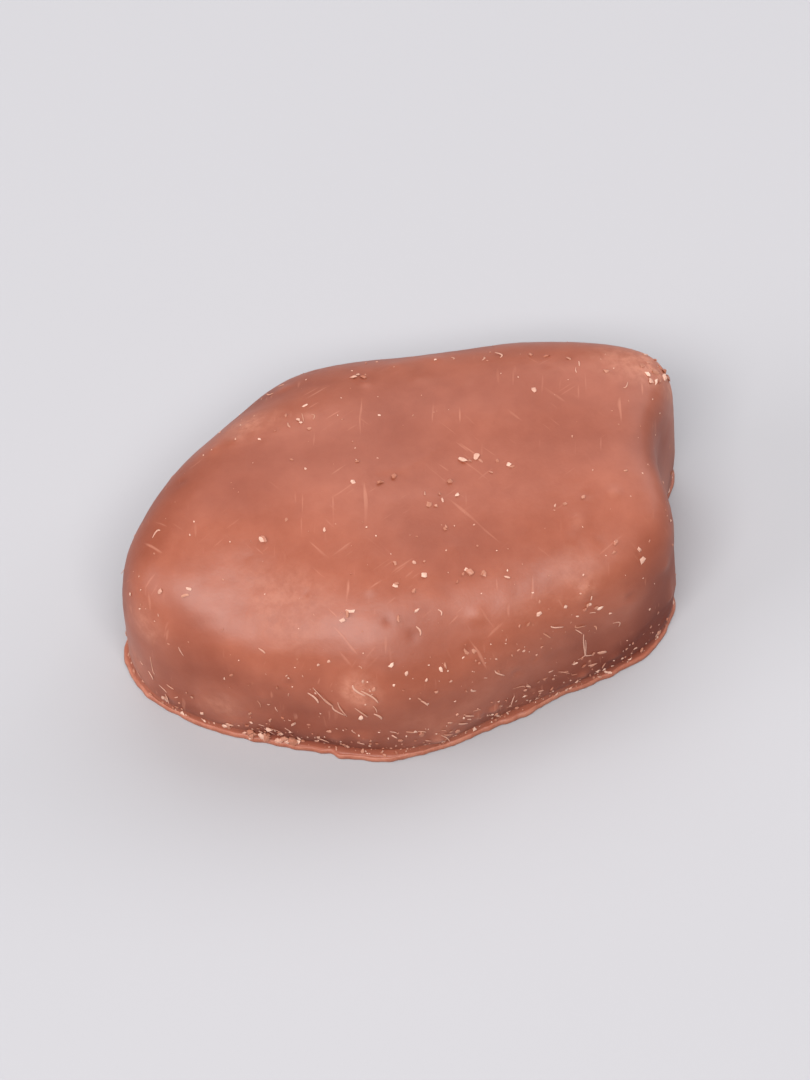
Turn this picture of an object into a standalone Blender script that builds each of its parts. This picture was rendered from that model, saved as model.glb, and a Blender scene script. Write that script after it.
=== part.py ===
"""Coated pecan: one pecan half dipped whole in milk chocolate and set on a flat belt to cool.

The coat is a soft cushion with a notched end, drawn in a little above a thin foot, the skirt of
chocolate that ran out flat on the belt. The units are metres, with +Z up and X along the nut.
The origin is the middle of the flat underside.
"""
import math

import bmesh
import bpy

MM = 0.001

# Driving dimensions of the coat, seen from above: a rounded oblong with a few soft swells
BODY_LENGTH = 32.5 * MM
BODY_WIDTH = 23.4 * MM
PLAN_SQUARENESS = 2.45

# Each swell of the outline: its direction in degrees from +X, how far it stands out, and its
# reach to each side in degrees
OUTLINE_SWELLS = {
    "far lobe of the notched end": (16, 2.75 * MM, 13.5),
    "hollow of the notched end": (2, -2.15 * MM, 22),
    "slack near corner": (-50, -0.5 * MM, 14.5),
    "slack near flank": (-65.5, -1.35 * MM, 30),
    "full far flank": (105, 1.0 * MM, 25),
    "far side of the blunt tip": (146, -1.6 * MM, 24.5),
    "end of the blunt tip": (182.5, 1.2 * MM, 13),
    "near side of the blunt tip": (219.5, -1.65 * MM, 24),
}

# The swells are whole at the waist and melt away towards the crown at this power of the spread
SWELL_FADE = 1.25

# The side view: a flat crown, full shoulders, the widest level low down, and the foot under it
CROWN_HEIGHT = 11.6 * MM
WAIST_HEIGHT = 3.3 * MM
SHOULDER_SQUARENESS = 2.7
CROWN_FALL_TO_SIDES = 0.95 * MM
CROWN_RISE_TO_BLUNT_TIP = 0.55 * MM
CROWN_RISE_TO_FAR_SIDE = 1.25 * MM

# Where the shoulder is squarer still: direction, how much squarer, and reach in degrees
SHOULDER_SWELLS = {
    "near flank": (270, 0.65, 70),
    "blunt tip": (184, 1.45, 34),
    "notched end": (-2, 5.0, 34),
}

# Soft forms of the crown: centre in X and Y, rise, and reach in X and Y
CROWN_FORMS = {
    "slope over the blunt tip": (-11.5 * MM, -5.6 * MM, -1.25 * MM, 4.0 * MM, 4.7 * MM),
    "saddle in the near shoulder": (0.3 * MM, -10.9 * MM, -0.8 * MM, 4.0 * MM, 2.6 * MM),
    "full near corner": (12.5 * MM, -9.6 * MM, 0.35 * MM, 4.0 * MM, 2.8 * MM),
    "dip in the middle": (3.0 * MM, 0.6 * MM, -0.55 * MM, 6.2 * MM, 6.4 * MM),
}

# The foot: a thin lip about flush with the coat, which runs out past it here and there, each
# swell again a direction in degrees, a rise and a reach in degrees
LIP_MEAN_REACH = -0.12 * MM
LIP_SWELLS = {
    "tongue at the blunt tip": (173, 0.2 * MM, 24),
    "far flank": (110, 0.35 * MM, 30),
    "far corner": (62, 0.3 * MM, 12),
}
NECK_DRAW_IN = 0.2 * MM
NECK_HEIGHT = 0.8 * MM
LIP_EDGE_HEIGHT = 0.4 * MM
LIP_NOSE_HEIGHT = 0.22 * MM
LIP_EDGE_ROUND = 0.1 * MM

# How finely the surface is divided
SECTORS = 96
DOME_RINGS = 20
FLANK_RINGS = 8
LIP_RINGS = 5
BASE_RINGS = 3
RINGS = DOME_RINGS + FLANK_RINGS + LIP_RINGS + BASE_RINGS

MILK_CHOCOLATE = (0.42, 0.115, 0.064, 1.0)
SATIN_ROUGHNESS = 0.45


def swell(turn, swells):
    """Sum of bell curves round the outline: each is its rise times exp of minus the squared
    angle from its direction over its reach."""
    total = 0.0
    for direction, rise, reach in swells.values():
        away = (turn - math.radians(direction) + math.pi) % math.tau - math.pi
        total += rise * math.exp(-(away / math.radians(reach)) ** 2)
    return total


def body_radius(turn, spread=1.0):
    """Superellipse radius in this direction plus the outline's swells, faded by the spread."""
    along = abs(math.cos(turn)) / (BODY_LENGTH / 2)
    across = abs(math.sin(turn)) / (BODY_WIDTH / 2)
    oblong = (along ** PLAN_SQUARENESS + across ** PLAN_SQUARENESS) ** (-1 / PLAN_SQUARENESS)
    return oblong + swell(turn, OUTLINE_SWELLS) * spread ** SWELL_FADE


def lip_radius(turn):
    """The coat's radius plus the lip's mean reach and its own swells."""
    return body_radius(turn) + LIP_MEAN_REACH + swell(turn, LIP_SWELLS)


def crown_height(x, y):
    """Crown height, leaning and falling to the sides, plus round soft forms."""
    along = x / (BODY_LENGTH / 2)
    across = y / (BODY_WIDTH / 2)
    height = CROWN_HEIGHT - CROWN_FALL_TO_SIDES * across ** 2
    height += CROWN_RISE_TO_FAR_SIDE * across - CROWN_RISE_TO_BLUNT_TIP * along
    for x_mid, y_mid, rise, x_reach, y_reach in CROWN_FORMS.values():
        height += rise * math.exp(-((x - x_mid) / x_reach) ** 2 - ((y - y_mid) / y_reach) ** 2)
    return height


def dome_point(turn, share):
    """Quarter superellipse from the crown's middle at share 0 to the waist at share 1, squarer
    where the shoulder is."""
    climb = share * math.pi / 2
    squareness = SHOULDER_SQUARENESS + swell(turn, SHOULDER_SWELLS)
    spread = math.sin(climb) ** (2 / squareness)
    rise = max(math.cos(climb), 0.0) ** (2 / squareness)
    radius = spread * body_radius(turn, spread)
    top = crown_height(radius * math.cos(turn), radius * math.sin(turn))
    return radius, WAIST_HEIGHT + (top - WAIST_HEIGHT) * rise


def neck_radius(turn):
    """The neck lies inside both the coat's waist and the lip's edge."""
    return min(body_radius(turn), lip_radius(turn)) - NECK_DRAW_IN


def flank_point(turn, share):
    """Quarter ellipse from the waist down and in to the neck."""
    curl = share * math.pi / 2
    waist = body_radius(turn)
    radius = waist - (waist - neck_radius(turn)) * (1 - math.cos(curl))
    return radius, WAIST_HEIGHT - (WAIST_HEIGHT - NECK_HEIGHT) * math.sin(curl)


def lip_point(turn, ring):
    """From the neck out along the lip's sloping top, round its thin edge, to the belt."""
    edge = lip_radius(turn)
    top_edge = edge - LIP_EDGE_ROUND
    neck = neck_radius(turn)
    stations = (
        (neck + (top_edge - neck) / 3, NECK_HEIGHT + (LIP_EDGE_HEIGHT - NECK_HEIGHT) / 3),
        (neck + (top_edge - neck) * 2 / 3, NECK_HEIGHT + (LIP_EDGE_HEIGHT - NECK_HEIGHT) * 2 / 3),
        (top_edge, LIP_EDGE_HEIGHT),
        (edge, LIP_NOSE_HEIGHT),
        (edge - LIP_EDGE_ROUND, 0.0),
    )
    return stations[ring - 1]


def coat_point(turn, ring):
    """Radius and height of the coat's surface at one ring, from the crown to the underside."""
    if ring <= DOME_RINGS:
        return dome_point(turn, ring / DOME_RINGS)
    ring -= DOME_RINGS
    if ring <= FLANK_RINGS:
        return flank_point(turn, ring / FLANK_RINGS)
    ring -= FLANK_RINGS
    if ring <= LIP_RINGS:
        return lip_point(turn, ring)
    ring -= LIP_RINGS
    return (lip_radius(turn) - LIP_EDGE_ROUND) * (1 - ring / BASE_RINGS), 0.0


def chocolate_material():
    """Milk chocolate set to a satin shine."""
    material = bpy.data.materials.new("milk_chocolate")
    material.use_nodes = True
    shader = material.node_tree.nodes["Principled BSDF"]
    shader.inputs["Base Color"].default_value = MILK_CHOCOLATE
    shader.inputs["Roughness"].default_value = SATIN_ROUGHNESS
    shader.inputs["Metallic"].default_value = 0.0
    return material


def centre_on_origin(shape):
    """Slides the shape level, so that its box is centred over the origin."""
    for axis in (0, 1):
        places = [vert.co[axis] for vert in shape.verts]
        middle = (min(places) + max(places)) / 2
        for vert in shape.verts:
            vert.co[axis] -= middle


def coated_pecan():
    """The whole piece: a sphere whose rings are drawn out to the coat's surface."""
    shape = bmesh.new()
    bmesh.ops.create_uvsphere(shape, u_segments=SECTORS, v_segments=RINGS, radius=1.0)
    for vert in shape.verts:
        turn = math.atan2(vert.co.y, vert.co.x)
        ring = round(math.acos(max(-1.0, min(1.0, vert.co.z))) / math.pi * RINGS)
        radius, height = coat_point(turn, ring)
        vert.co = (radius * math.cos(turn), radius * math.sin(turn), height)
    centre_on_origin(shape)
    mesh = bpy.data.meshes.new("coated_pecan")
    shape.to_mesh(mesh)
    shape.free()
    mesh.materials.append(chocolate_material())
    mesh.shade_smooth()
    mesh.set_sharp_from_angle(angle=math.radians(50))
    return bpy.data.objects.new("coated_pecan", mesh)


for leftover in list(bpy.data.objects):
    bpy.data.objects.remove(leftover, do_unlink=True)

sweets = bpy.data.collections.new("Coated pecan")
bpy.context.scene.collection.children.link(sweets)
sweets.objects.link(coated_pecan())
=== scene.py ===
"""Coated pecan: one pecan half covered whole in milk chocolate, in soft studio light.

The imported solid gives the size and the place. The coat goes over it, and then what the coat
picks up as it is tumbled and packed: crumbs, dust and scraped shavings.
The units are metres, with +Z up, X along the nut and the middle of the underside at the origin.
"""
import math

import bpy
import numpy as np
from mathutils import Matrix, Vector


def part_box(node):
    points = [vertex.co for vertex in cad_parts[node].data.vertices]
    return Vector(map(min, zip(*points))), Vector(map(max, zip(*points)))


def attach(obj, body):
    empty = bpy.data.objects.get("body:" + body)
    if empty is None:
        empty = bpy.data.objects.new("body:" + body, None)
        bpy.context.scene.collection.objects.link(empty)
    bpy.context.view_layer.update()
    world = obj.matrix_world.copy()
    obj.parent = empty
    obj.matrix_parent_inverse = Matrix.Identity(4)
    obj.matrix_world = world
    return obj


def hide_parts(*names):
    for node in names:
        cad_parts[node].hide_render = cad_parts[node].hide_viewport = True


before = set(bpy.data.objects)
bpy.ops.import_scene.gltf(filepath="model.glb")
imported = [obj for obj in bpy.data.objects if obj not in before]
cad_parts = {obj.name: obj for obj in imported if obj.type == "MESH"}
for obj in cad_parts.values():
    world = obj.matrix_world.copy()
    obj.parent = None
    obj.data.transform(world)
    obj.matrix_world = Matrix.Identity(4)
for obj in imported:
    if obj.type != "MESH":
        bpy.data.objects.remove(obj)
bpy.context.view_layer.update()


# The coat: milk chocolate that ran over a pecan half and set as a soft cushion. It follows the
# nut's notched end, draws in just above the belt, and runs out there as a thin flat foot.
MM = 0.001
BODY_LENGTH = 32.5 * MM
BODY_WIDTH = 23.4 * MM
PLAN_SQUARENESS = 2.45
OUTLINE_SWELLS = {
    "far lobe of the notched end": (16, 2.75 * MM, 13.5),
    "hollow of the notched end": (2, -2.15 * MM, 22),
    "slack near corner": (-50, -0.5 * MM, 14.5),
    "slack near flank": (-65.5, -1.35 * MM, 30),
    "full far flank": (105, 1.0 * MM, 25),
    "far side of the blunt tip": (146, -1.6 * MM, 24.5),
    "end of the blunt tip": (182.5, 1.2 * MM, 13),
    "near side of the blunt tip": (219.5, -1.65 * MM, 24),
}
SWELL_FADE = 1.25
CROWN_HEIGHT = 11.6 * MM
WAIST_HEIGHT = 3.3 * MM
SHOULDER_SQUARENESS = 2.7
SHOULDER_SWELLS = {
    "near flank": (270, 0.65, 70),
    "blunt tip": (184, 1.45, 34),
    "notched end": (-2, 5.0, 34),
}
CROWN_FALL_TO_SIDES = 0.95 * MM
CROWN_RISE_TO_BLUNT_TIP = 0.55 * MM
CROWN_RISE_TO_FAR_SIDE = 1.25 * MM
CROWN_FORMS = {
    "slope over the blunt tip": (-11.5 * MM, -5.6 * MM, -1.25 * MM, 4.0 * MM, 4.7 * MM),
    "saddle in the near shoulder": (0.3 * MM, -10.9 * MM, -0.8 * MM, 4.0 * MM, 2.6 * MM),
    "full near corner": (12.5 * MM, -9.6 * MM, 0.35 * MM, 4.0 * MM, 2.8 * MM),
    "dip in the middle": (3.0 * MM, 0.6 * MM, -0.55 * MM, 6.2 * MM, 6.4 * MM),
}
FLANK_SWEEP = math.radians(76)
FOOT_MEAN_REACH = -0.12 * MM
FOOT_SWELLS = {
    "tongue at the blunt tip": (173, 0.2 * MM, 24),
    "far flank": (110, 0.35 * MM, 30),
    "far corner": (62, 0.3 * MM, 12),
}
NECK_DRAW_IN = 0.2 * MM
NECK_HEIGHT = 0.8 * MM
FOOT_THICKNESS = 0.4 * MM
FOOT_NOSE_DEPTH = 0.12 * MM
UNDERSIDE_HOLLOW = 0.05 * MM
UNDERSIDE_RIM_SHARE = 0.08

# Each ripple: its wavelength, its height, and the seed of its random directions
SURFACE_RIPPLES = (
    (7.5 * MM, 0.05 * MM, 3),
    (3.2 * MM, 0.013 * MM, 8),
    (1.3 * MM, 0.005 * MM, 5),
)
RIM_RIPPLES = (
    (3.6 * MM, 0.10 * MM, 21),
    (1.5 * MM, 0.06 * MM, 22),
    (0.7 * MM, 0.03 * MM, 23),
)
WAVES_IN_A_RIPPLE = 9
WAVE_LENGTHS = (0.7, 1.5)


def swell(turn, swells):
    """Sum of bell curves round the outline: each is its rise times exp of minus the squared
    angle from its direction over its reach."""
    total = np.zeros_like(turn)
    for direction, rise, reach in swells.values():
        away = (turn - math.radians(direction) + np.pi) % (2 * np.pi) - np.pi
        total += rise * np.exp(-(away / math.radians(reach)) ** 2)
    return total


def ripple(places, wavelength, seed):
    """Sum of sine waves, each as long as the wavelength times a number between WAVE_LENGTHS,
    that cross in random directions. It is divided by the root of their number, and so stays
    near one."""
    draw = np.random.default_rng(seed)
    total = np.zeros(places.shape[:-1])
    for _ in range(WAVES_IN_A_RIPPLE):
        direction = draw.normal(size=3)
        direction /= np.linalg.norm(direction)
        length = wavelength * draw.uniform(*WAVE_LENGTHS)
        total += np.sin(places @ direction * 2 * np.pi / length + draw.uniform(0, 2 * np.pi))
    return total / math.sqrt(WAVES_IN_A_RIPPLE)


def body_reach(turn, spread=1.0):
    """Superellipse radius in this direction plus the outline's swells, faded by the spread."""
    along = np.abs(np.cos(turn)) / (BODY_LENGTH / 2)
    across = np.abs(np.sin(turn)) / (BODY_WIDTH / 2)
    oblong = (along ** PLAN_SQUARENESS + across ** PLAN_SQUARENESS) ** (-1 / PLAN_SQUARENESS)
    return oblong + swell(turn, OUTLINE_SWELLS) * spread ** SWELL_FADE


def smooth_foot_reach(turn):
    """The body's reach plus the foot's mean reach and its own swells."""
    return body_reach(turn) + FOOT_MEAN_REACH + swell(turn, FOOT_SWELLS)


def foot_reach(turn):
    """The smooth foot plus ripples that travel round its rim, as the chocolate set unevenly."""
    reach = smooth_foot_reach(turn)
    rim = np.stack([reach * np.cos(turn), reach * np.sin(turn), np.zeros_like(reach)], axis=-1)
    for wavelength, height, seed in RIM_RIPPLES:
        reach = reach + height * ripple(rim, wavelength, seed)
    return reach


def neck_reach(turn):
    """The neck lies inside both the body's waist and the smooth foot."""
    return np.minimum(body_reach(turn), smooth_foot_reach(turn)) - NECK_DRAW_IN


def crown_height(x, y):
    """Crown height, leaning and falling to the sides, plus round soft forms."""
    along = x / (BODY_LENGTH / 2)
    across = y / (BODY_WIDTH / 2)
    height = CROWN_HEIGHT - CROWN_FALL_TO_SIDES * across ** 2
    height = height + CROWN_RISE_TO_FAR_SIDE * across - CROWN_RISE_TO_BLUNT_TIP * along
    for x_mid, y_mid, rise, x_reach, y_reach in CROWN_FORMS.values():
        away = ((x - x_mid) / x_reach) ** 2 + ((y - y_mid) / y_reach) ** 2
        height = height + rise * np.exp(-away)
    return height


def dome(turn, share):
    """Quarter superellipse from the crown's middle at share 0 to the waist at share 1, squarer
    where the shoulder is."""
    climb = share * np.pi / 2
    squareness = SHOULDER_SQUARENESS + swell(turn, SHOULDER_SWELLS)
    spread = np.sin(climb) ** (2 / squareness)
    rise = np.cos(climb).clip(0) ** (2 / squareness)
    radius = spread * body_reach(turn, spread)
    top = crown_height(radius * np.cos(turn), radius * np.sin(turn))
    return radius, WAIST_HEIGHT + (top - WAIST_HEIGHT) * rise


def flank(turn, share):
    """Part of a quarter ellipse, from the waist down and in to the neck."""
    curl = share * FLANK_SWEEP
    draw_in = (1 - np.cos(curl)) / (1 - math.cos(FLANK_SWEEP))
    drop = np.sin(curl) / math.sin(FLANK_SWEEP)
    waist = body_reach(turn)
    radius = waist - (waist - neck_reach(turn)) * draw_in
    return radius, WAIST_HEIGHT - (WAIST_HEIGHT - NECK_HEIGHT) * drop


def foot_top(turn, share):
    """Out from the neck in a hollow parabola that flattens towards the rim."""
    neck = neck_reach(turn)
    edge = foot_reach(turn) - FOOT_NOSE_DEPTH
    height = FOOT_THICKNESS + (NECK_HEIGHT - FOOT_THICKNESS) * (1 - share) ** 2
    return neck + (edge - neck) * share, height


def foot_nose(turn, share):
    """Half an ellipse round the rim, as deep as the nose and as high as the foot is thick."""
    roll = np.pi / 2 - share * np.pi
    radius = foot_reach(turn) - FOOT_NOSE_DEPTH * (1 - np.cos(roll))
    return radius, FOOT_THICKNESS / 2 * (1 + np.sin(roll))


def underside(turn, share):
    """Flat on the belt at the rim, then a hair hollow all the way in to the middle. The step
    up to the hollow is a smooth cubic."""
    radius = (foot_reach(turn) - FOOT_NOSE_DEPTH) * (1 - share)
    inside = np.clip(share / UNDERSIDE_RIM_SHARE, 0, 1)
    return radius, UNDERSIDE_HOLLOW * inside ** 2 * (3 - 2 * inside)


# A level runs down the coat: 0 is the crown's middle, 1 the waist, 2 the neck, 3 and 4 the top
# and bottom of the rim, and 5 the middle of the underside
STRETCHES = (dome, flank, foot_top, foot_nose, underside)
LAST_LEVEL = float(len(STRETCHES))


def bare_coat(turn, level):
    """Place before the relief: the level picks the stretch and the share of the way along it,
    and the stretch gives the radius and height in this direction."""
    radius = np.zeros_like(turn)
    height = np.zeros_like(turn)
    for number, stretch in enumerate(STRETCHES):
        out, up = stretch(turn, np.clip(level - number, 0, 1))
        radius = np.where(level >= number, out, radius)
        height = np.where(level >= number, up, height)
    return np.stack([radius * np.cos(turn), radius * np.sin(turn), height], axis=-1)


SLOPE_STEP = 0.002
POLE_ROOM = 0.008


def facing(surface, turn, level):
    """Outward direction: the cross product of the surface's slopes down the level and round the
    turn, made one long. It keeps off the two poles, where the second slope is nothing."""
    level = np.clip(level, POLE_ROOM, LAST_LEVEL - POLE_ROOM)
    down = surface(turn, level + SLOPE_STEP) - surface(turn, level - SLOPE_STEP)
    sideways = surface(turn + SLOPE_STEP, level) - surface(turn - SLOPE_STEP, level)
    out = np.cross(down, sideways)
    return out / np.linalg.norm(out, axis=-1, keepdims=True)


# Pimples where the coat hangs over a crumb of nut, and pits where an air bubble broke
PIMPLE_COUNT = 46
PIT_COUNT = 30
BLEMISH_LEVELS = (0.15, 1.8)
PIMPLE_HEIGHTS_MM = (0.03, 0.09)
PIMPLE_REACHES_MM = (0.28, 0.6)
PIT_TO_PIMPLE = 0.6
BLEMISH_SEED = 12

# How strong the relief is at each level: full on the wall, and none on the underside
RELIEF_BY_LEVEL = ((0, 0.8, 1.3, 2, 3, 4, 5), (0.9, 1.2, 2.2, 2.0, 0.8, 0.1, 0.0))


def scattered_blemishes():
    """Random places over the dome and flank, each with its height and reach in metres. The
    pits come after the pimples, and their heights are below nothing."""
    draw = np.random.default_rng(BLEMISH_SEED)
    count = PIMPLE_COUNT + PIT_COUNT
    turn = draw.uniform(0, 2 * np.pi, count)
    level = draw.uniform(*BLEMISH_LEVELS, count)
    height = draw.uniform(*PIMPLE_HEIGHTS_MM, count) * MM
    height[PIMPLE_COUNT:] *= -PIT_TO_PIMPLE
    reach = draw.uniform(*PIMPLE_REACHES_MM, count) * MM
    reach[PIMPLE_COUNT:] *= PIT_TO_PIMPLE
    return bare_coat(turn, level), height, reach


def relief(places, level):
    """How far the surface stands out of the bare form: ripples, plus a bell curve for each
    pimple and less one for each pit."""
    total = np.zeros(places.shape[:-1])
    for wavelength, height, seed in SURFACE_RIPPLES:
        total += height * ripple(places, wavelength, seed)
    for centre, height, reach in zip(*scattered_blemishes()):
        away = ((places - centre) ** 2).sum(axis=-1)
        total += height * np.exp(-away / reach ** 2)
    return total * np.interp(level, *RELIEF_BY_LEVEL)


def rough_coat(turn, level):
    """The bare coat moved out along its facing by the relief, and never below the belt."""
    places = bare_coat(turn, level)
    out = relief(places, level)[..., None] * facing(bare_coat, turn, level)
    moved = places + out
    moved[..., 2] = np.maximum(moved[..., 2], 0.0)
    return moved


# The mesh: rings of points round the coat, closer together at the rim, with a pole at each end.
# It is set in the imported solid's box, less the room that the crumbs need.
SECTORS = 640
RINGS_IN_STRETCH = (84, 30, 13, 7, 17)
ROOM_FOR_CRUMBS = 0.10 * MM

turns = np.linspace(0, 2 * np.pi, SECTORS, endpoint=False)
levels = np.concatenate([
    number + np.linspace(0, 1, rings, endpoint=False)
    for number, rings in enumerate(RINGS_IN_STRETCH)
])[1:]
grid_turn, grid_level = np.meshgrid(turns, levels)
rough_points = rough_coat(grid_turn, grid_level)

solid_low, solid_high = (np.array(corner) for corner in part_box("coated_pecan"))
rough_low = rough_points.min(axis=(0, 1))
rough_high = rough_points.max(axis=(0, 1))
seat_low = solid_low + np.array([ROOM_FOR_CRUMBS, ROOM_FOR_CRUMBS, 0.0])
seat_high = solid_high - ROOM_FOR_CRUMBS
seat_scale = (seat_high - seat_low) / (rough_high - rough_low)


def coat(turn, level):
    """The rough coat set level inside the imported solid's box, with room left for crumbs."""
    return (rough_coat(turn, level) - rough_low) * seat_scale + seat_low


def make_piece(name, points, faces, smooth=True):
    """A mesh object at the origin, unturned, with its place in its points."""
    mesh = bpy.data.meshes.new(name)
    mesh.from_pydata(points.tolist(), [], faces)
    if smooth:
        mesh.shade_smooth()
    mesh.update()
    piece = bpy.data.objects.new(name, mesh)
    bpy.context.scene.collection.objects.link(piece)
    return piece


def skin_faces(rings, sectors):
    """Faces of a closed skin whose points run pole, rings, pole: four-sided ones between
    neighbour rings, and a fan of triangles round each pole."""
    ring, sector = np.meshgrid(np.arange(rings - 1), np.arange(sectors), indexing="ij")
    here = 1 + ring * sectors + sector
    beside = 1 + ring * sectors + (sector + 1) % sectors
    quads = np.stack([here, here + sectors, beside + sectors, beside], axis=-1).reshape(-1, 4)
    around = 1 + np.arange(sectors)
    after = 1 + (np.arange(sectors) + 1) % sectors
    last = (rings - 1) * sectors
    last_pole = np.full_like(around, last + sectors + 1)
    top = np.stack([np.zeros_like(around), around, after], axis=-1)
    bottom = np.stack([last + around, last_pole, last + after], axis=-1)
    return quads, np.concatenate([top, bottom])


def repeat_faces(faces, copies, points_each):
    """The same faces for each of several like forms, whose points follow one another."""
    shift = np.arange(copies)[:, None, None] * points_each
    return (faces[None] + shift).reshape(-1, faces.shape[1]).tolist()


# The crown's pole takes its height just off the middle and its place from the first ring
crown_point = coat(np.zeros(1), np.full(1, levels[0] / 4))
crown_point[:, :2] = coat(turns, np.full(SECTORS, levels[0])).mean(axis=0)[:2]
base_point = coat(np.zeros(1), np.full(1, LAST_LEVEL))
coat_grid = coat(grid_turn, grid_level).reshape(-1, 3)
coat_points = np.concatenate([crown_point, coat_grid, base_point])
coat_quads, coat_triangles = skin_faces(len(levels), SECTORS)
coat_faces = coat_quads.tolist() + coat_triangles.tolist()
coat_piece = make_piece("chocolate_coat", coat_points, coat_faces)


def add_attribute(piece, name, values):
    """Stores one number for each point, which a material reads by this name."""
    layer = piece.data.attributes.new(name, "FLOAT", "POINT")
    layer.data.foreach_set("value", values.astype(np.float32))


# Raised spots and the rim are abraded bare and pale. Hollows and the wall above the foot get
# painted shade, a deep brown. The rim and the wall are given as a level and a span of levels.
RUB_HEIGHT = 0.10 * MM
RUB_OF_RAISED_SPOTS = 0.35
RUB_OF_RIM = 0.6
RIM_LEVEL = 3.3
RIM_SPAN = 0.45
# Strength of the painted shade laid on the wall above the foot
PAINTED_SHADE_OF_WALL = 0.8
WALL_LEVEL = 1.6
WALL_SPAN = 0.75

# Each scuff, where the coat was abraded, or painted highlight, a pale veil laid where the shine
# falls: turn in degrees, level, reach, and how bare or pale it is
SCUFFS_AND_PAINTED_HIGHLIGHTS = {
    "near shoulder, left": (240, 0.80, 1.3 * MM, 1.0),
    "near side of the blunt tip": (207, 1.15, 2.0 * MM, 0.85),
    "blunt shoulder": (190, 0.88, 1.8 * MM, 0.7),
    # A pale abrasion on the blunt tip's wall, with a painted reflection of the pale room laid
    # over it
    "rub and painted reflection on the blunt tip's wall": (185, 1.2, 2.4 * MM, 0.95),
    "tip of the far lobe": (15, 0.82, 1.9 * MM, 0.9),
    "far shoulder": (138, 0.45, 1.3 * MM, 0.6),
    "near corner": (318, 0.95, 1.6 * MM, 0.6),
    "far flank": (84, 0.9, 2.0 * MM, 0.7),
    "near flank, left": (256, 1.0, 3.5 * MM, 0.45),
    "near flank, right": (292, 0.95, 4.0 * MM, 0.4),
    # Painted highlights: pale veils laid where the shine of the panels falls
    "painted highlight on the blunt slope": (211, 0.36, 4.0 * MM, 0.55),
    "painted highlight on the far lobe": (17, 0.50, 3.0 * MM, 0.55),
    "painted highlight over the near corner": (318, 0.54, 3.0 * MM, 0.6),
}


def scuffing_and_painted_highlights(places):
    """How bare each place is: for each scuff or painted highlight, a bell curve of the distance
    from its centre.
    """
    total = np.zeros(places.shape[:-1])
    for direction, level, reach, bareness in SCUFFS_AND_PAINTED_HIGHLIGHTS.values():
        centre = bare_coat(np.array([math.radians(direction)]), np.array([level]))
        total += bareness * np.exp(-((places - centre) ** 2).sum(axis=-1) / reach ** 2)
    return total


bare_points = bare_coat(grid_turn, grid_level)
scuffed_and_painted_highlights = scuffing_and_painted_highlights(bare_points)
stands_out = relief(bare_points, grid_level) / RUB_HEIGHT
at_the_rim = np.exp(-((grid_level - RIM_LEVEL) / RIM_SPAN) ** 2)
# A band of painted shade on the wall above the foot, less under scuffs and painted highlights
wall_shade_mask = np.exp(-((grid_level - WALL_LEVEL) / WALL_SPAN) ** 2) * (1 - scuffed_and_painted_highlights.clip(0, 1))
rubbed_bare_and_painted_highlight = RUB_OF_RAISED_SPOTS * stands_out + RUB_OF_RIM * at_the_rim + scuffed_and_painted_highlights
# Over one half: wear and painted highlight; under it: painted shade in hollows and the low wall
rub_and_painted_light = (rubbed_bare_and_painted_highlight - PAINTED_SHADE_OF_WALL * wall_shade_mask).clip(-1, 1) * 0.5 + 0.5
add_attribute(coat_piece, "rub_and_painted_light", np.concatenate([[0.5], rub_and_painted_light.ravel(), [0.5]]))


# The chocolate: a satin milk brown, mottled a little, with fine grain and faint abraded lines.
# Pale patches are wear and painted highlight, and a deep brown in hollows and low on the wall
# is painted shade. It set on the nut without a mould, so it has a soft shine of its own and no
# sharp gloss.
CHOCOLATE_DEEP = (0.260, 0.064, 0.030, 1.0)
CHOCOLATE_LIGHT = (0.325, 0.091, 0.048, 1.0)
# Pale brown of wear, also laid as painted highlight
CHOCOLATE_RUBBED_AND_PAINTED_HIGHLIGHT = (0.540, 0.225, 0.145, 1.0)
# Painted shade: the deep brown laid on hollows and the low wall
CHOCOLATE_PAINTED_SHADE = (0.150, 0.022, 0.006, 1.0)

# Cells of noise to the metre
SLOW_MOTTLE = 150.0
SHORT_MOTTLE = 900.0
STREAKS = 1700.0
GRAIN = 5200.0

# How much each thing counts for in the colour
SLOW_SHARE = 0.6
WORN_SHARE = 0.75
LINE_SHARE = 0.40
LEAST_STREAK = 0.35

# The values of noise between which mottle, patches, streaks and lines go from nothing to full,
# and the values of the attribute between which the coat goes pale, as wear and painted highlight,
# and goes deep brown as painted shade
MOTTLE_RANGE = (0.36, 0.64)
PATCH_RANGE = (0.50, 0.66)
STREAK_RANGE = (0.40, 0.62)
LINE_RANGE = (0.68, 0.76)
BARE_AND_HIGHLIGHT_RANGE = (0.62, 1.0)
PAINTED_SHADE_RANGE = (0.55, 0.05)

# The surface: its roughness, and the height of its grain against the mottle
SMOOTHEST = 0.39
ROUGHEST = 0.50
ROUGHER_WHERE_RUBBED = 0.2
ROUGHER_WHERE_DEEP = 0.3
GRAIN_HEIGHT = 0.35
LINE_SCRATCH = 0.15
BUMP_STRENGTH = 0.35
BUMP_DEPTH = 0.05 * MM
CHOCOLATE_IOR = 1.48

# Light sinks a little way in, red the farthest
GLOW_WEIGHT = 0.06
GLOW_DEPTH = 0.7 * MM
GLOW_BY_COLOUR = (1.0, 0.35, 0.18)

# Rub lines: bearing in degrees, lines to the metre, and patches to the metre. Each line is as
# many times longer and deeper than it is thin.
LINE_LENGTH = 10
LINE_DEPTH = 6
RUB_LINES = ((24.0, 4200.0, 190.0), (-58.0, 3600.0, 230.0), (75.0, 3900.0, 270.0))


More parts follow.
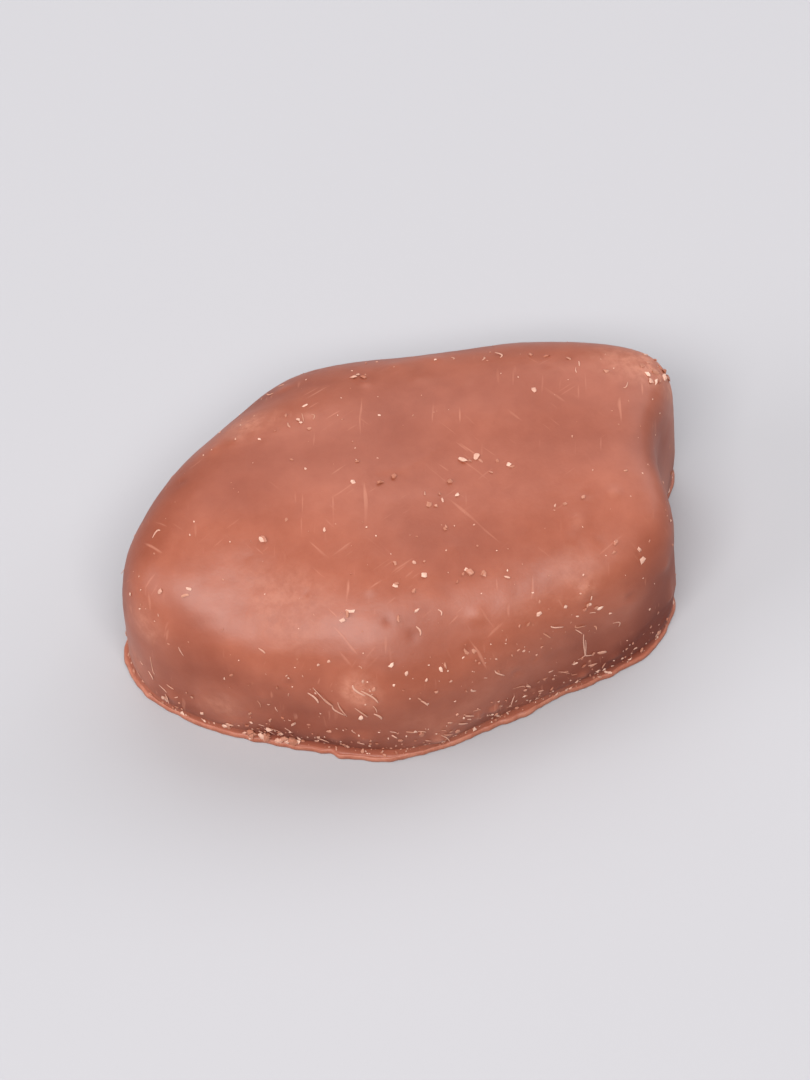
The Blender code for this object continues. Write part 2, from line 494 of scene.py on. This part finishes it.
def add_node(tree, kind, inputs=None, **settings):
    """Adds one shader node. Its inputs are numbers, colours or links from other nodes."""
    made = tree.nodes.new("ShaderNode" + kind)
    for name, value in settings.items():
        setattr(made, name, value)
    for socket, value in (inputs or {}).items():
        if isinstance(value, bpy.types.NodeSocket):
            tree.links.new(value, made.inputs[socket])
        else:
            made.inputs[socket].default_value = value
    return made


def noise(tree, coordinates, scale, detail=2.0, roughness=0.5):
    """Soft noise from nought to one, with this many cells to the metre."""
    made = add_node(tree, "TexNoise", {
        "Vector": coordinates,
        "Scale": scale,
        "Detail": detail,
        "Roughness": roughness,
    })
    return made.outputs["Fac"]


def between(tree, value, low, high, least=0.0, most=1.0):
    """The least at the low value, the most at the high one, and a straight line between. The
    low value may be the larger of the two, and then the line falls."""
    made = add_node(tree, "MapRange", {
        "Value": value,
        "From Min": low,
        "From Max": high,
        "To Min": least,
        "To Max": most,
    }, clamp=True)
    return made.outputs["Result"]


def maths(tree, operation, first, second):
    """Adds, multiplies or otherwise joins two values."""
    return add_node(tree, "Math", {0: first, 1: second}, operation=operation).outputs[0]


def times(tree, first, second):
    """The product of two values."""
    return maths(tree, "MULTIPLY", first, second)


def mix_colours(tree, share, first, second):
    """Goes from the first colour to the second as the share goes from nought to one."""
    made = add_node(tree, "Mix", data_type="RGBA")
    for socket, value in (("Factor_Float", share), ("A_Color", first), ("B_Color", second)):
        place = next(i for i in made.inputs if i.identifier == socket)
        if isinstance(value, bpy.types.NodeSocket):
            tree.links.new(value, place)
        else:
            place.default_value = value
    return next(o for o in made.outputs if o.identifier == "Result_Color")


def rub_lines(tree, coordinates, bearing, fineness, patches):
    """Thin broken lines along one bearing: noise drawn out far along it and less in height,
    kept only near its peaks and only inside the patches."""
    drawn_out = add_node(tree, "Mapping", {
        "Vector": coordinates,
        "Rotation": (0.0, 0.0, math.radians(bearing)),
        "Scale": (LINE_LENGTH / fineness, 1 / fineness, LINE_DEPTH / fineness),
    }, vector_type="TEXTURE")
    lines = between(tree, noise(tree, drawn_out.outputs["Vector"], 1.0, 1.0), *LINE_RANGE)
    return times(tree, lines, patches)


def chocolate_material():
    """Two browns mottled by slow and short noise. The attribute read below makes them paler where
    it is high, as wear and painted highlight, and gives them a deep brown of painted shade where
    it is low. Faint abraded lines make them paler, and the surface is satin with fine grain."""
    material = bpy.data.materials.new("milk_chocolate_coat")
    material.use_nodes = True
    tree = material.node_tree
    shader = tree.nodes["Principled BSDF"]
    coordinates = add_node(tree, "TexCoord").outputs["Object"]

    slow = noise(tree, coordinates, SLOW_MOTTLE, 2.0)
    short = noise(tree, coordinates, SHORT_MOTTLE, 4.0, 0.6)
    grain = noise(tree, coordinates, GRAIN, 3.0, 0.6)
    mottle = maths(tree, "ADD", times(tree, slow, SLOW_SHARE), times(tree, short, 1 - SLOW_SHARE))
    lighter = between(tree, mottle, *MOTTLE_RANGE)
    brown = mix_colours(tree, lighter, CHOCOLATE_DEEP, CHOCOLATE_LIGHT)

    rub_and_painted_light_value = add_node(tree, "Attribute", attribute_name="rub_and_painted_light").outputs["Fac"]
    lines = 0.0
    for bearing, fineness, patch_fineness in RUB_LINES:
        patches = between(tree, noise(tree, coordinates, patch_fineness, 1.0), *PATCH_RANGE)
        drawn = rub_lines(tree, coordinates, bearing, fineness, patches)
        lines = maths(tree, "MAXIMUM", lines, drawn)
    streak_noise = noise(tree, coordinates, STREAKS, 3.0, 0.7)
    streaks = between(tree, streak_noise, *STREAK_RANGE, least=LEAST_STREAK)
    # Wear and painted highlights turn the brown pale where the attribute is high
    worn_and_painted_highlight = times(tree, between(tree, rub_and_painted_light_value, *BARE_AND_HIGHLIGHT_RANGE), streaks)
    paler = maths(tree, "MAXIMUM", times(tree, worn_and_painted_highlight, WORN_SHARE), times(tree, lines, LINE_SHARE))
    # Painted shade: deep brown where the attribute is low, in hollows and on the low wall
    painted_shade = between(tree, rub_and_painted_light_value, *PAINTED_SHADE_RANGE)
    brown = mix_colours(tree, painted_shade, brown, CHOCOLATE_PAINTED_SHADE)
    colour = mix_colours(tree, paler, brown, CHOCOLATE_RUBBED_AND_PAINTED_HIGHLIGHT)
    tree.links.new(colour, shader.inputs["Base Color"])

    satin = between(tree, mottle, 0.0, 1.0, SMOOTHEST, ROUGHEST)
    where_rubbed = times(tree, paler, ROUGHER_WHERE_RUBBED)
    dull = maths(tree, "ADD", where_rubbed, times(tree, painted_shade, ROUGHER_WHERE_DEEP))
    tree.links.new(maths(tree, "ADD", satin, dull), shader.inputs["Roughness"])

    skin = maths(tree, "ADD", times(tree, grain, GRAIN_HEIGHT), short)
    skin = maths(tree, "SUBTRACT", skin, times(tree, lines, LINE_SCRATCH))
    bump = add_node(tree, "Bump", {
        "Height": skin,
        "Strength": BUMP_STRENGTH,
        "Distance": BUMP_DEPTH,
    })
    tree.links.new(bump.outputs["Normal"], shader.inputs["Normal"])
    shader.inputs["IOR"].default_value = CHOCOLATE_IOR
    shader.inputs["Subsurface Weight"].default_value = GLOW_WEIGHT
    shader.inputs["Subsurface Radius"].default_value = GLOW_BY_COLOUR
    shader.inputs["Subsurface Scale"].default_value = GLOW_DEPTH
    return material


coat_piece.data.materials.append(chocolate_material())
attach(coat_piece, "root")
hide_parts("coated_pecan")


# The crumbs: dry bits and dust of chocolate, broken off in tumbling and packing, that cling to
# the coat. Most lie on the near flank and along the foot, and a few knots on the crown.
# Sink is a share of a crumb's height, and the flattest and the roundest are shares of its size.
CRUMB_SINK = 0.22
CRUMB_FLATTEST = (0.75, 0.45, 0.22)
CRUMB_ROUNDEST = (1.30, 0.95, 0.50)
CORNER_REACHES = (0.45, 1.30)
SIZES_IN_A_KNOT = (0.7, 1.3)
SIZES_IN_A_BELT = ((0.5, 1.0), (0.8, 1.8))
CRUMB_SEED = 31
PALE_SHARE = 0.45

# Knots of crumbs on the crown: X, Y, reach, how many, and their mean size
CROWN_KNOTS = {
    "bright bit": (3.6 * MM, -0.2 * MM, 0.02 * MM, 1, 0.62 * MM),
    "beside the bright bit": (4.3 * MM, -0.6 * MM, 0.35 * MM, 3, 0.36 * MM),
    "right of the bright bit": (5.8 * MM, -1.1 * MM, 0.5 * MM, 4, 0.33 * MM),
    "behind the bright bit": (2.0 * MM, -2.6 * MM, 0.8 * MM, 9, 0.33 * MM),
    "middle of the crown": (-0.5 * MM, -0.4 * MM, 0.3 * MM, 2, 0.42 * MM),
    "left of the middle": (-8.6 * MM, -2.3 * MM, 0.1 * MM, 2, 0.44 * MM),
    "near shoulder, left": (-1.9 * MM, -7.4 * MM, 0.8 * MM, 8, 0.36 * MM),
    "near shoulder, right": (2.4 * MM, -7.6 * MM, 0.7 * MM, 6, 0.38 * MM),
    "over the near corner": (11.2 * MM, -7.9 * MM, 0.6 * MM, 4, 0.38 * MM),
    "pale flake": (-5.3 * MM, -7.8 * MM, 0.15 * MM, 3, 0.55 * MM),
    "blunt shoulder": (-14.3 * MM, -3.7 * MM, 0.4 * MM, 3, 0.38 * MM),
    "far edge": (-0.3 * MM, 7.6 * MM, 0.25 * MM, 3, 0.45 * MM),
    "far lobe": (10.2 * MM, 3.6 * MM, 1.3 * MM, 4, 0.36 * MM),
    "tip of the far lobe": (15.6 * MM, 3.7 * MM, 0.7 * MM, 14, 0.38 * MM),
    "right of the middle": (8.3 * MM, -4.5 * MM, 0.6 * MM, 3, 0.34 * MM),
    "left half": (-4.9 * MM, -1.5 * MM, 1.8 * MM, 5, 0.28 * MM),
    "left of the far edge": (-5.4 * MM, 4.2 * MM, 1.2 * MM, 7, 0.28 * MM),
}

# Belts of crumbs lower down: from and to turn in degrees, from and to level, how many, and size
FLANK_BELTS = {
    "near shoulder": (225, 318, 0.62, 0.82, 34, 0.30 * MM),
    "near flank": (205, 330, 0.78, 1.9, 120, 0.24 * MM),
    "near foot": (205, 330, 1.6, 2.7, 60, 0.26 * MM),
    "clump by the near side of the blunt tip": (211, 222, 1.3, 2.6, 26, 0.48 * MM),
    "blunt end": (165, 205, 0.7, 2.8, 46, 0.24 * MM),
    "notched end": (-30, 40, 0.75, 2.6, 60, 0.24 * MM),
    "far flank": (40, 165, 0.75, 2.7, 90, 0.24 * MM),
    "dust on the crown": (0, 360, 0.05, 0.8, 190, 0.11 * MM),
    "dust on the near flank": (205, 330, 0.7, 2.6, 190, 0.12 * MM),
}

ROUNDS_TO_FIND_SPREAD = 4


def dome_under(x, y):
    """Turn and level of the dome under a place seen from above. The spread is worked out from
    the radius in a few rounds, because the outline's swells change with it, and the level
    from the spread."""
    across = (np.stack([x, y], axis=-1) - seat_low[:2]) / seat_scale[:2] + rough_low[:2]
    turn = np.arctan2(across[..., 1], across[..., 0])
    radius = np.hypot(across[..., 0], across[..., 1])
    spread = radius / body_reach(turn)
    for _ in range(ROUNDS_TO_FIND_SPREAD):
        spread = np.clip(radius / body_reach(turn, spread), 0, 0.999)
    squareness = SHOULDER_SQUARENESS + swell(turn, SHOULDER_SWELLS)
    return turn, np.arcsin(spread ** (squareness / 2)) * 2 / np.pi


def crumb_places(draw):
    """Turn, level and size of every crumb. The knots spread as a normal cloud and the belts
    evenly. A size is its mean times one random number in a knot and two in a belt, which
    makes most of them small."""
    turns, levels, sizes = [], [], []
    for x, y, reach, count, size in CROWN_KNOTS.values():
        x_places = x + draw.normal(size=count) * reach
        y_places = y + draw.normal(size=count) * reach
        turn, level = dome_under(x_places, y_places)
        turns.append(turn)
        levels.append(level)
        sizes.append(size * draw.uniform(*SIZES_IN_A_KNOT, count))
    for turn_from, turn_to, level_from, level_to, count, size in FLANK_BELTS.values():
        turns.append(np.radians(draw.uniform(turn_from, turn_to, count)))
        levels.append(draw.uniform(level_from, level_to, count))
        for least, most in SIZES_IN_A_BELT:
            size = size * draw.uniform(least, most, count)
        sizes.append(size)
    return np.concatenate(turns), np.concatenate(levels), np.concatenate(sizes)


def crumb_form():
    """Twelve corners and twenty faces: two poles, and two staggered rings of five."""
    around = np.arange(5)
    after = (around + 1) % 5
    height = 1 / math.sqrt(5)
    corners = [(0.0, 0.0, 1.0)]
    for lift, stagger in ((height, 0.0), (-height, 0.5)):
        angles = (around + stagger) * 2 * np.pi / 5
        ring = [2 * height * np.cos(angles), 2 * height * np.sin(angles), np.full(5, lift)]
        corners += np.stack(ring, axis=-1).tolist()
    corners.append((0.0, 0.0, -1.0))
    upper, lower = 1 + around, 6 + around
    faces = np.concatenate([
        np.stack([np.zeros(5, int), upper, 1 + after], axis=-1),
        np.stack([upper, lower, 1 + after], axis=-1),
        np.stack([1 + after, lower, 6 + after], axis=-1),
        np.stack([np.full(5, 11), 6 + after, lower], axis=-1),
    ])
    return np.array(corners), faces


def crumb_piece(name, turn, level, size, draw):
    """One mesh of crumbs. Each is the form with its corners moved in or out, drawn out to its
    own length, width and height, turned any way on the coat and sunk a little into it."""
    corners, faces = crumb_form()
    count = len(turn)
    out = facing(coat, turn, level)
    along = np.cross(out, draw.normal(size=(count, 3)))
    along /= np.linalg.norm(along, axis=-1, keepdims=True)
    across = np.cross(out, along)
    half = size[:, None] / 2 * draw.uniform(CRUMB_FLATTEST, CRUMB_ROUNDEST, (count, 3))
    in_or_out = draw.uniform(*CORNER_REACHES, (count, len(corners), 1))
    local = corners * in_or_out * half[:, None, :]
    local[..., 2] += (1 - 2 * CRUMB_SINK) * half[:, None, 2]
    axes = np.stack([along, across, out], axis=1)
    points = coat(turn, level)[:, None, :] + local @ axes
    points = np.clip(points, solid_low, solid_high).reshape(-1, 3)
    piece = make_piece(name, points, repeat_faces(faces, count, len(corners)), smooth=False)
    add_attribute(piece, "tone", np.repeat(draw.uniform(0, 1, count), len(corners)))
    return piece


# Each bit's tone counts for most of its colour, and noise for the rest, with this many cells
# to the metre
CRUMB_CELLS = 9000.0
TONE_SHARE = 0.8
UNEVEN_SHARE = 0.5
TONE_RANGE = (0.15, 1.1)
CRUMB_BUMP_STRENGTH = 0.4
CRUMB_BUMP_DEPTH = 0.03 * MM
CRUMB_IOR = 1.47


def crumb_material(name, darkest, palest, roughness):
    """Each bit keeps its own tone between the two colours, a little uneven within itself."""
    material = bpy.data.materials.new(name)
    material.use_nodes = True
    tree = material.node_tree
    shader = tree.nodes["Principled BSDF"]
    coordinates = add_node(tree, "TexCoord").outputs["Object"]
    tone = add_node(tree, "Attribute", attribute_name="tone").outputs["Fac"]
    uneven = times(tree, noise(tree, coordinates, CRUMB_CELLS, 2.0), UNEVEN_SHARE)
    uneven_tone = maths(tree, "ADD", times(tree, tone, TONE_SHARE), uneven)
    share = between(tree, uneven_tone, *TONE_RANGE)
    tree.links.new(mix_colours(tree, share, darkest, palest), shader.inputs["Base Color"])
    bump = add_node(tree, "Bump", {
        "Height": uneven,
        "Strength": CRUMB_BUMP_STRENGTH,
        "Distance": CRUMB_BUMP_DEPTH,
    })
    tree.links.new(bump.outputs["Normal"], shader.inputs["Normal"])
    shader.inputs["Roughness"].default_value = roughness
    shader.inputs["IOR"].default_value = CRUMB_IOR
    return material


crumb_draw = np.random.default_rng(CRUMB_SEED)
turn_of_crumb, level_of_crumb, size_of_crumb = crumb_places(crumb_draw)
is_pale = crumb_draw.uniform(size=len(turn_of_crumb)) < PALE_SHARE

# Each kind of crumb: which of them, the darkest and the palest colour, and the roughness
CRUMB_KINDS = {
    "pale_crumbs": (is_pale, (0.46, 0.21, 0.142, 1.0), (0.73, 0.475, 0.365, 1.0), 0.62),
    "brown_crumbs": (~is_pale, (0.34, 0.105, 0.055, 1.0), (0.48, 0.22, 0.145, 1.0), 0.5),
}
for name, (chosen, darkest, palest, roughness) in CRUMB_KINDS.items():
    crumbs = crumb_piece(
        name, turn_of_crumb[chosen], level_of_crumb[chosen], size_of_crumb[chosen], crumb_draw
    )
    crumbs.data.materials.append(crumb_material(name, darkest, palest, roughness))
    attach(crumbs, "root")
    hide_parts("coated_pecan")


# The shavings: thin curls and slivers of chocolate that a hard edge scraped up. They lie along
# the strokes that raised them, most of them slanting over the near flank.
SHAVING_STATIONS = 11
SHAVING_CORNERS = 6
SHAVING_THICKNESS = 0.35
SHAVING_SEED = 47

# How the slivers of one stroke differ: the scatter of their slant in degrees, and their lengths
# and widths as shares of the mean
SLANT_SCATTER = 25
LENGTHS_OF_MEAN = (0.5, 1.6)
WIDTHS_OF_MEAN = (0.7, 1.6)

# How one sliver runs: the step over which its pace is taken, its usual bend as a share of its
# length, how many times that it may be, how high its end curls, and how its section tapers
PACE_STEP = 0.004
BEND_OF_LENGTH = 0.28
MOST_BEND = 1.3
HIGHEST_CURL = 0.35 * MM
CURL_RARITY = 4
LEVEL_LIMITS = (0.02, 2.9)
TIP_TAPER = 0.6
RAISED_BY = 0.6

SHAVING_DARKEST = (0.40, 0.15, 0.085, 1.0)
SHAVING_PALEST = (0.58, 0.32, 0.235, 1.0)
SHAVING_ROUGHNESS = 0.5

# Strokes: from and to turn in degrees, from and to level, slant in degrees of turn for each
# level, how many, mean length and mean width
SHAVING_STROKES = {
    "near side of the blunt tip": (226, 246, 0.76, 1.0, 60, 9, 0.90 * MM, 0.11 * MM),
    "near flank": (212, 318, 0.78, 1.6, 40, 44, 0.55 * MM, 0.10 * MM),
    "near corner": (296, 325, 0.6, 1.2, 45, 10, 0.60 * MM, 0.10 * MM),
    "tip of the far lobe": (8, 26, 0.6, 1.0, -40, 8, 0.55 * MM, 0.11 * MM),
    "far shoulder": (124, 142, 0.22, 0.32, -90, 3, 0.6 * MM, 0.09 * MM),
    "crown": (0, 360, 0.1, 0.7, 50, 16, 0.45 * MM, 0.09 * MM),
    "far flank": (40, 165, 0.7, 1.8, 40, 26, 0.55 * MM, 0.10 * MM),
    "blunt end": (165, 205, 0.75, 1.9, 30, 14, 0.5 * MM, 0.10 * MM),
}


def shaving_places(draw):
    """Turn, level, slant, length and width of every sliver, stroke by stroke."""
    rows = []
    for stroke in SHAVING_STROKES.values():
        turn_from, turn_to, level_from, level_to, slant, count, length, width = stroke
        rows.append(np.column_stack([
            np.radians(draw.uniform(turn_from, turn_to, count)),
            draw.uniform(level_from, level_to, count),
            np.radians(slant + SLANT_SCATTER * draw.normal(size=count)),
            length * draw.uniform(*LENGTHS_OF_MEAN, count),
            width * draw.uniform(*WIDTHS_OF_MEAN, count),
        ]))
    return np.concatenate(rows).T


def shaving_piece(name, draw):
    """One mesh of slivers. Each follows a short slanting line over the coat, with a bend like
    half a sine wave and a curl that lifts one end by the square of the way along. Its
    six-cornered section swells from nothing and back."""
    turn, level, slant, length, width = shaving_places(draw)
    count = len(turn)
    start = coat(turn, level)
    ahead = coat(turn + slant * PACE_STEP, level + PACE_STEP)
    pace = np.linalg.norm(ahead - start, axis=-1) / PACE_STEP
    share = np.linspace(0, 1, SHAVING_STATIONS + 2)[1:-1]
    way = (share - 0.5) * (length / pace)[:, None]
    bend = draw.normal(size=count).clip(-MOST_BEND, MOST_BEND) * BEND_OF_LENGTH * length
    bow = (bend / np.hypot(start[:, 0], start[:, 1]))[:, None] * np.sin(np.pi * share)
    path_level = np.clip(level[:, None] + way, *LEVEL_LIMITS)
    path_turn = turn[:, None] + slant[:, None] * way + bow
    out = facing(coat, path_turn, path_level)
    curl = draw.uniform(0.0, 1.0, count) ** CURL_RARITY * HIGHEST_CURL
    lift = curl[:, None] * share ** 2
    middle = coat(path_turn, path_level) + out * lift[..., None]
    heading = np.gradient(middle, axis=1)
    heading /= np.linalg.norm(heading, axis=-1, keepdims=True)
    across = np.cross(out, heading)
    corner = np.arange(SHAVING_CORNERS) * 2 * np.pi / SHAVING_CORNERS
    swelling = width[:, None] / 2 * np.sin(np.pi * share) ** TIP_TAPER
    sideways = swelling[..., None] * np.cos(corner)
    upwards = swelling[..., None] * SHAVING_THICKNESS * (RAISED_BY + np.sin(corner))
    rings = (
        middle[:, :, None, :]
        + across[:, :, None, :] * sideways[..., None]
        + out[:, :, None, :] * upwards[..., None]
    )
    points = np.concatenate([middle[:, :1], rings.reshape(count, -1, 3), middle[:, -1:]], axis=1)
    points = np.clip(points, solid_low, solid_high)
    quads, triangles = skin_faces(SHAVING_STATIONS, SHAVING_CORNERS)
    points_each = points.shape[1]
    faces = repeat_faces(quads, count, points_each) + repeat_faces(triangles, count, points_each)
    piece = make_piece(name, points.reshape(-1, 3), faces)
    add_attribute(piece, "tone", np.repeat(draw.uniform(0, 1, count), points_each))
    return piece


shavings = shaving_piece("shavings", np.random.default_rng(SHAVING_SEED))
shavings.data.materials.append(
    crumb_material("shavings", SHAVING_DARKEST, SHAVING_PALEST, SHAVING_ROUGHNESS)
)
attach(shavings, "root")
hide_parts("coated_pecan")


# The floor: a plain pale sheet, far larger than the sweet, that stays out of the object
FLOOR_REACH = 3.0
FLOOR_COLOUR = (0.40, 0.397, 0.410, 1.0)
FLOOR_DARKER = (0.394, 0.391, 0.404, 1.0)
FLOOR_CELLS = 12.0
FLOOR_RANGE = (0.2, 0.8)
FLOOR_ROUGHNESS = 0.7


def floor_material():
    """Matt pale grey with a breath of unevenness."""
    material = bpy.data.materials.new("pale_floor")
    material.use_nodes = True
    tree = material.node_tree
    shader = tree.nodes["Principled BSDF"]
    coordinates = add_node(tree, "TexCoord").outputs["Object"]
    uneven = between(tree, noise(tree, coordinates, FLOOR_CELLS, 2.0), *FLOOR_RANGE)
    pale = mix_colours(tree, uneven, FLOOR_COLOUR, FLOOR_DARKER)
    tree.links.new(pale, shader.inputs["Base Color"])
    shader.inputs["Roughness"].default_value = FLOOR_ROUGHNESS
    return material


floor_corners = FLOOR_REACH * np.array([(-1, -1, 0), (1, -1, 0), (1, 1, 0), (-1, 1, 0)])
floor = make_piece("pale_floor", floor_corners, [(0, 1, 2, 3)])
floor.data.materials.append(floor_material())


# The light: a long soft panel high in front, a broad pale one like a window behind the sweet,
# which veils its crown, two low ones that fill its ends, and a dim pale room
ROOM_COLOUR = (0.93, 0.92, 1.0, 1.0)
ROOM_STRENGTH = 0.25

# Each panel: its place, width, height, power and colour
PANELS = {
    "front_panel": ((-0.16, -0.50, 0.73), 0.70, 0.26, 9.4, (1.0, 0.985, 0.975)),
    "window_panel": ((0.22, 0.50, 0.65), 1.00, 0.65, 4.4, (0.96, 0.97, 1.0)),
    "left_panel": ((-0.62, -0.02, 0.36), 0.50, 0.36, 2.5, (1.0, 0.97, 0.98)),
    "right_panel": ((0.66, 0.22, 0.34), 0.50, 0.36, 1.9, (1.0, 0.97, 0.98)),
}


def soft_panel(name, place, width, height, power, colour):
    """An oblong area light that faces the sweet."""
    lamp = bpy.data.lights.new(name, "AREA")
    lamp.shape = "RECTANGLE"
    lamp.size = width
    lamp.size_y = height
    lamp.energy = power
    lamp.color = colour
    holder = bpy.data.objects.new(name, lamp)
    holder.location = place
    holder.rotation_euler = (-Vector(place)).to_track_quat("-Z", "Y").to_euler()
    bpy.context.scene.collection.objects.link(holder)


for panel_name, panel in PANELS.items():
    soft_panel(panel_name, *panel)

world = bpy.data.worlds.new("pale_room")
world.use_nodes = True
world.node_tree.nodes["Background"].inputs["Color"].default_value = ROOM_COLOUR
world.node_tree.nodes["Background"].inputs["Strength"].default_value = ROOM_STRENGTH
bpy.context.scene.world = world
bpy.context.scene.view_settings.view_transform = "Standard"


# The camera: at the photograph's angle, looking down on the near side, tipped a little
AZIMUTH = math.radians(-12)
ELEVATION = math.radians(53.6)
ROLL = math.radians(4)
CAMERA_DISTANCE = 0.64
LENS_MM = 375
AIM = Vector((0.0, 0.0, 4.5 * MM))

towards_camera = Vector((
    math.sin(AZIMUTH) * math.cos(ELEVATION),
    -math.cos(AZIMUTH) * math.cos(ELEVATION),
    math.sin(ELEVATION),
))
camera = bpy.data.objects.new("camera", bpy.data.cameras.new("camera"))
camera.data.lens = LENS_MM
camera.data.clip_start = 0.05
camera.data.clip_end = 10.0
level_view = (-towards_camera).to_track_quat("-Z", "Y").to_matrix().to_4x4()
camera_place = Matrix.Translation(AIM + towards_camera * CAMERA_DISTANCE)
camera.matrix_world = camera_place @ level_view @ Matrix.Rotation(-ROLL, 4, "Z")
bpy.context.scene.collection.objects.link(camera)
bpy.context.scene.camera = camera
